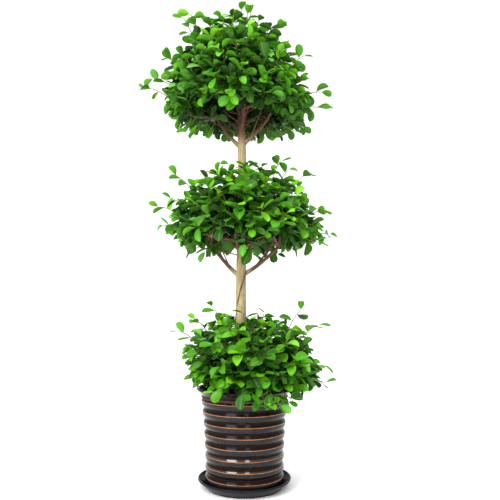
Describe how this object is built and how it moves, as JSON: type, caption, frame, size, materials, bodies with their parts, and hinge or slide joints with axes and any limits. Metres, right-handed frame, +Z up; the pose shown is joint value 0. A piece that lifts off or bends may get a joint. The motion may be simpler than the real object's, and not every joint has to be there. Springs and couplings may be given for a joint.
{
  "type": "potted clipped tree",
  "caption": "Clipped tree with leaf balls in tiers on one straight stem, in a ribbed dark glazed pot standing on a black saucer.",
  "frame": {"origin": "middle of the saucer's flat underside, on the floor", "axes": "+Z up along the stem and the pot's axis, -Y to the front, +X to the right-hand side"},
  "size_m": [0.5968, 0.578, 1.4992],
  "materials": {
    "saucer_glaze": "gloss",
    "pot_glaze": "gloss",
    "soil": "rough",
    "bark": "rough",
    "leaf": "satin"
  },
  "bodies": {
    "root": {"bottom_limb_1": "bark", "bottom_limb_2": "bark", "bottom_limb_3": "bark", "bottom_limb_4": "bark", "bottom_spray_01": "leaf", "bottom_spray_02": "leaf", "bottom_spray_03": "leaf", "bottom_spray_04": "leaf", "bottom_spray_05": "leaf", "bottom_spray_06": "leaf", "bottom_spray_07": "leaf", "bottom_spray_08": "leaf", "bottom_spray_09": "leaf", "bottom_spray_10": "leaf", "bottom_spray_11": "leaf", "middle_limb_1": "bark", "middle_limb_2": "bark", "middle_limb_3": "bark", "middle_limb_4": "bark", "middle_spray_01": "leaf", "middle_spray_02": "leaf", "middle_spray_03": "leaf", "middle_spray_04": "leaf", "middle_spray_05": "leaf", "middle_spray_06": "leaf", "middle_spray_07": "leaf", "middle_spray_08": "leaf", "middle_spray_09": "leaf", "middle_spray_10": "leaf", "middle_spray_11": "leaf", "middle_spray_12": "leaf", "middle_spray_13": "leaf", "middle_spray_14": "leaf", "pot": "pot_glaze", "saucer": "saucer_glaze", "soil": "soil", "top_limb_1": "bark", "top_limb_2": "bark", "top_limb_3": "bark", "top_limb_4": "bark", "top_spray_01": "leaf", "top_spray_02": "leaf", "top_spray_03": "leaf", "top_spray_04": "leaf", "top_spray_05": "leaf", "top_spray_06": "leaf", "top_spray_07": "leaf", "top_spray_08": "leaf", "top_spray_09": "leaf", "top_spray_10": "leaf", "top_spray_11": "leaf", "top_spray_12": "leaf", "top_spray_13": "leaf", "top_spray_14": "leaf", "top_spray_15": "leaf", "top_spray_16": "leaf", "top_spray_17": "leaf", "trunk": "bark"}
  },
  "joints": []
}
